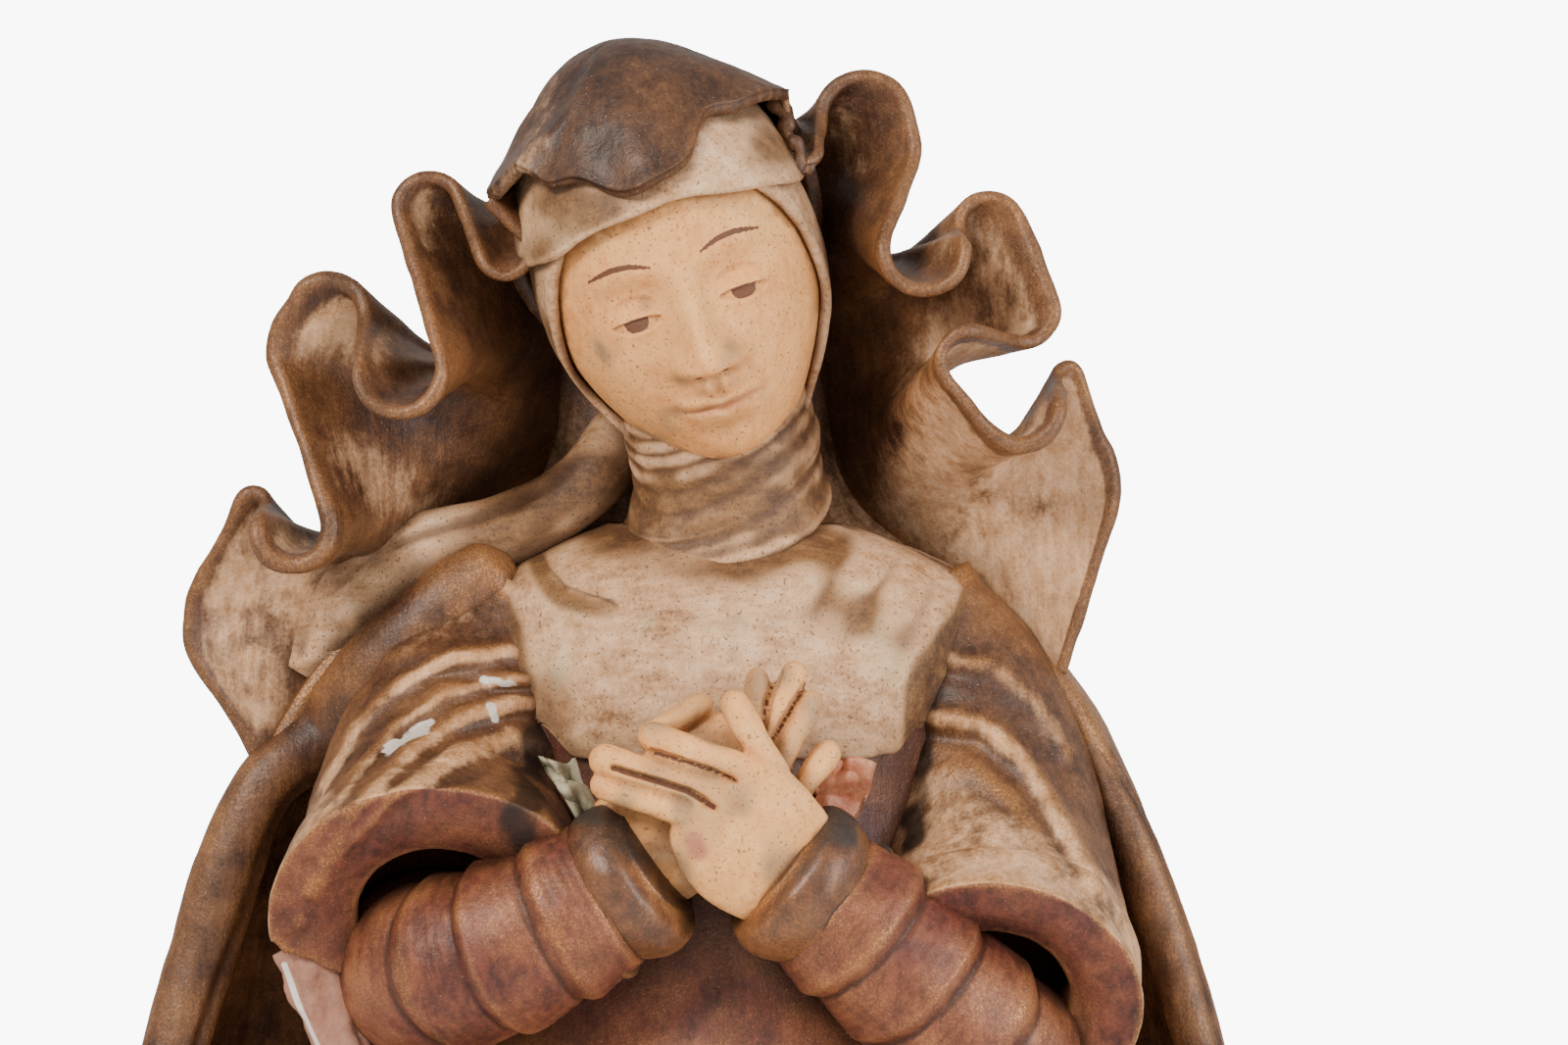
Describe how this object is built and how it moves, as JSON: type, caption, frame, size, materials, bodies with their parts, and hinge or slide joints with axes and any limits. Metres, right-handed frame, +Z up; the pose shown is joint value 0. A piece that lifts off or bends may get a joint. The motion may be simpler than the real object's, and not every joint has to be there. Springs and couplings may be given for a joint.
{
  "type": "terracotta virgin mary statue",
  "caption": "Standing veiled woman in painted terracotta, hands crossed on the breast, with a ruffled veil, a long mantle and a low base.",
  "frame": {"origin": "middle of the flat underside of the base", "axes": "+Z up, the figure faces -Y, +X to the viewer's right"},
  "size_m": [0.3921, 0.264, 0.7991],
  "materials": {
    "bronze_brown": "painted terracotta, bronze brown rubbed with gold on the edges",
    "pale_patina": "pale pinkish beige paint, matt, with brown in the hollows",
    "flesh": "pale flesh paint with fine dark speckles, matt",
    "red_brown": "red-brown paint with a faint gold sheen",
    "dark_bronze": "dark bronze paint, half-gloss, gold on the crowns",
    "cream_cloth": "cream ridges and brown hollows, matt"
  },
  "bodies": {
    "root": {"statue": "bronze_brown"}
  },
  "joints": []
}
